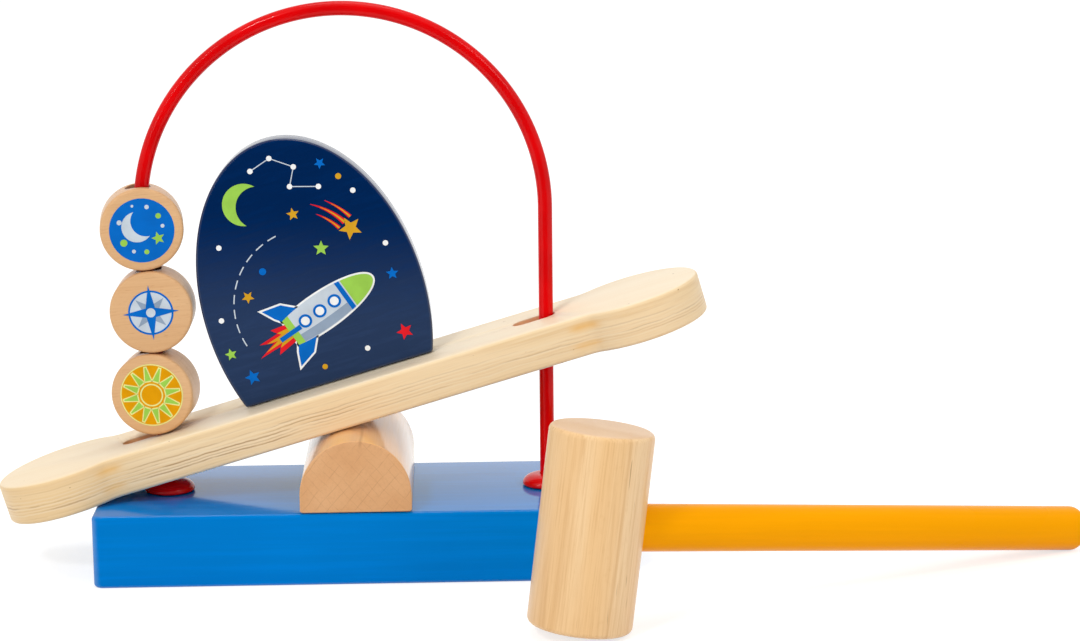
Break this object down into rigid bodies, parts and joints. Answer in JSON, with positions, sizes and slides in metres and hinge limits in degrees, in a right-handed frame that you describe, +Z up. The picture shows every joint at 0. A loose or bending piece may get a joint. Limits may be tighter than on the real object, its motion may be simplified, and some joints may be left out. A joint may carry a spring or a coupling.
{
  "type": "hammer bench",
  "caption": "Wooden hammer bench toy: a rocking plank under a wire arch, discs threaded on the arch, a standing panel and a separate hammer.",
  "frame": {"origin": "centre of the base's flat underside, which stands on the floor", "axes": "+X along the bench, from the plank's low end towards its raised end and the hammer; +Y from the front to the back; +Z up"},
  "size_m": [0.404, 0.1539, 0.2079],
  "materials": {
    "blue_lacquer": "gloss blue lacquer on solid wood",
    "beech": "sanded beech with a thin clear coat",
    "plywood": "sanded birch plywood with a thin clear coat",
    "pine": "sanded pale hardwood with a thin clear coat",
    "navy_lacquer": "satin navy lacquer with a printed front",
    "red_coating": "gloss red coating on steel wire",
    "red_plastic": "gloss red moulded plastic",
    "amber_lacquer": "gloss amber lacquer on a dowel",
    "zinc_steel": "zinc-plated steel"
  },
  "bodies": {
    "base": {"base_block": "blue_lacquer", "fulcrum_block": "beech", "fulcrum_screw_front": "zinc_steel", "fulcrum_screw_back": "zinc_steel", "wire_arch": "red_coating", "collar_left": "red_plastic", "collar_right": "red_plastic", "leg_washer_left": "zinc_steel", "leg_washer_right": "zinc_steel", "leg_nut_left": "zinc_steel", "leg_nut_right": "zinc_steel"},
    "seesaw": {"seesaw_plank": "plywood", "sky_panel": "navy_lacquer", "panel_screw_left": "zinc_steel", "panel_screw_right": "zinc_steel"},
    "disc_low": {"disc_low": "beech"},
    "disc_middle": {"disc_middle": "beech"},
    "disc_top": {"disc_top": "beech"},
    "hammer": {"hammer_head": "pine", "hammer_handle": "amber_lacquer"}
  },
  "joints": [
    {"name": "seesaw_hinge", "type": "hinge", "parent": "base", "child": "seesaw", "pos_m": [0, 0, 0.0536], "axis": [0, 1, 0], "range_deg": [0, 32.71]},
    {"name": "disc_low_slide", "type": "slide", "parent": "base", "child": "disc_low", "axis": [-0.0736, 0, 0.9973], "range_m": [0, 0.04473]},
    {"name": "disc_middle_swing", "type": "hinge", "parent": "base", "child": "disc_middle", "pos_m": [0.15094, 0, 0.12769], "axis": [0, 1, 0], "range_deg": [0, 11.26]},
    {"name": "disc_top_swing", "type": "hinge", "parent": "base", "child": "disc_top", "pos_m": [-0.0036, 0, 0.1315], "axis": [0, 1, 0], "range_deg": [0, 35.11]},
    {"name": "hammer_lift", "type": "slide", "parent": "base", "child": "hammer", "axis": [0, 0, 1], "range_m": [0, 0.15]}
  ],
  "couplings": [
    {"joint": "disc_low_slide", "follows": "seesaw_hinge", "m_per_rad": 0.078347},
    {"joint": "disc_middle_swing", "follows": "seesaw_hinge", "ratio": 0.34423},
    {"joint": "disc_top_swing", "follows": "seesaw_hinge", "ratio": 1.0731}
  ]
}
